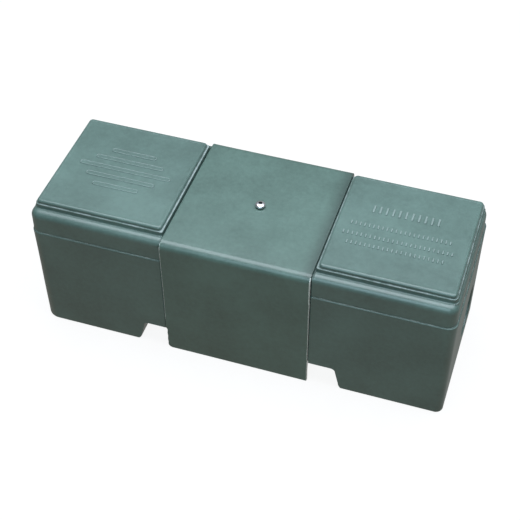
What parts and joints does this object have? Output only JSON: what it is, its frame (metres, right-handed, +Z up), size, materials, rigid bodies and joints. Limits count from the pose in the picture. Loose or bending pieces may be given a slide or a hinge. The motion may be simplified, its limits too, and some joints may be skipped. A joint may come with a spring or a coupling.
{
  "type": "bait station",
  "caption": "Long moulded run-through bait box with raised end plateaus, a lift-off cover, a centre saddle sleeve held by a security bolt, and lift-out bait trays.",
  "frame": {"origin": "centre of the footprint, on the ground plane", "axes": "+X along the length towards the right end, -Y towards the front face, +Z up"},
  "size_m": [0.4306, 0.1618, 0.1595],
  "materials": {
    "moulding": "satin moulded polyethylene, dark grey green",
    "panel": "satin moulded polyethylene, dark grey green",
    "sleeve": "satin moulded polyethylene with whitened cut edges",
    "inner": "fine-grained black polypropylene",
    "steel": "bright stainless steel",
    "brass": "plain turned brass",
    "rubber": "black nitrile rubber",
    "bait": "blue-green pressed wax and grain"
  },
  "bodies": {
    "base": {"base_tub": "moulding", "centre_post": "inner", "threaded_insert": "brass", "post_screw_1": "steel", "post_screw_2": "steel", "post_screw_3": "steel", "post_screw_4": "steel", "left_baffle": "inner", "right_baffle": "inner"},
    "cover": {"top_cover": "moulding", "left_top_panel": "panel", "right_top_panel": "panel"},
    "sleeve": {"centre_sleeve": "sleeve"},
    "bolt_seat": {"sealing_washer": "rubber"},
    "bolt": {"security_bolt": "steel"},
    "left_tray": {"left_bait_tray": "inner", "left_front_bait_rod": "steel", "left_back_bait_rod": "steel", "left_front_bait_block_1": "bait", "left_front_bait_block_2": "bait", "left_back_bait_block_1": "bait", "left_back_bait_block_2": "bait"},
    "right_tray": {"right_bait_tray": "inner", "right_front_bait_rod": "steel", "right_back_bait_rod": "steel", "right_front_bait_block_1": "bait", "right_front_bait_block_2": "bait", "right_back_bait_block_1": "bait", "right_back_bait_block_2": "bait"}
  },
  "joints": [
    {"name": "cover_lift", "type": "slide", "parent": "base", "child": "cover", "axis": [0, 0, 1], "range_m": [0, 0.12]},
    {"name": "sleeve_lift", "type": "slide", "parent": "cover", "child": "sleeve", "axis": [0, 0, 1], "range_m": [0, 0.155]},
    {"name": "bolt_rise", "type": "slide", "parent": "sleeve", "child": "bolt_seat", "axis": [0, 0, 1], "range_m": [0, 0.0151]},
    {"name": "bolt_turn", "type": "hinge", "parent": "bolt_seat", "child": "bolt", "pos_m": [0, 0, 0.1527], "axis": [0, 0, 1], "range_deg": [0, 5400]},
    {"name": "left_tray_lift", "type": "slide", "parent": "base", "child": "left_tray", "axis": [0, 0, 1], "range_m": [0, 0.03]},
    {"name": "right_tray_lift", "type": "slide", "parent": "base", "child": "right_tray", "axis": [0, 0, 1], "range_m": [0, 0.03]}
  ],
  "couplings": [
    {"joint": "bolt_rise", "follows": "bolt_turn", "m_per_rad": 0.00015915}
  ]
}
